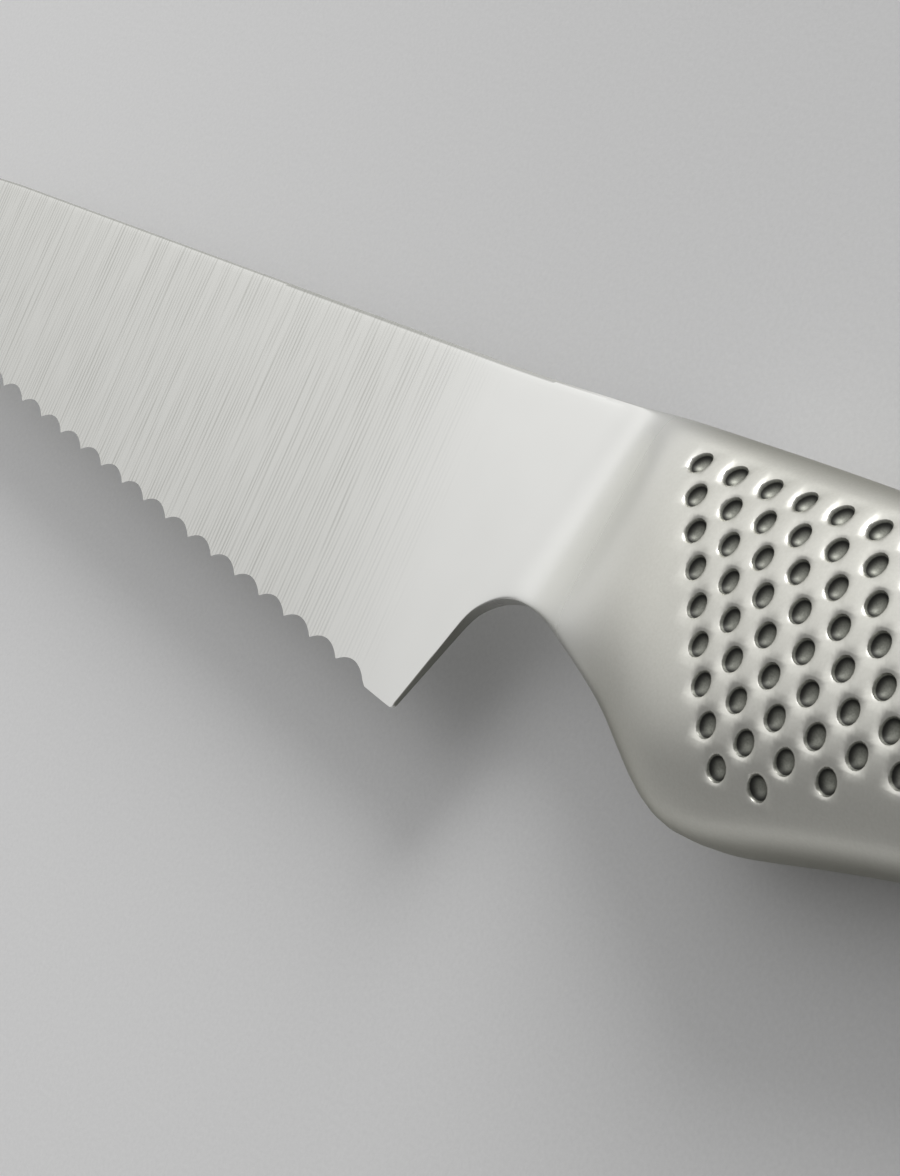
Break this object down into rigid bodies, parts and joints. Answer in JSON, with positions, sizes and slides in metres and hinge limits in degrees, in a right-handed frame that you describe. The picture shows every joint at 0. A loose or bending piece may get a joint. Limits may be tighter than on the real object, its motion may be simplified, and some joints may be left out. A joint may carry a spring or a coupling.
{
  "type": "serrated utility knife",
  "caption": "Seamless steel utility knife with a scalloped edge, a finger notch and a dented oval handle.",
  "frame": {"origin": "middle of the bounding box's base, under the knife as it lies on its right side", "axes": "+X along the spine from tip to butt, +Y from the cutting edge to the spine, +Z out of the left face"},
  "size_m": [0.27, 0.0298, 0.0156],
  "materials": {
    "satin_steel": "fine satin on the handle, ground lines across the blade, dark paint in the dents"
  },
  "bodies": {
    "root": {"knife": "satin_steel"}
  },
  "joints": []
}
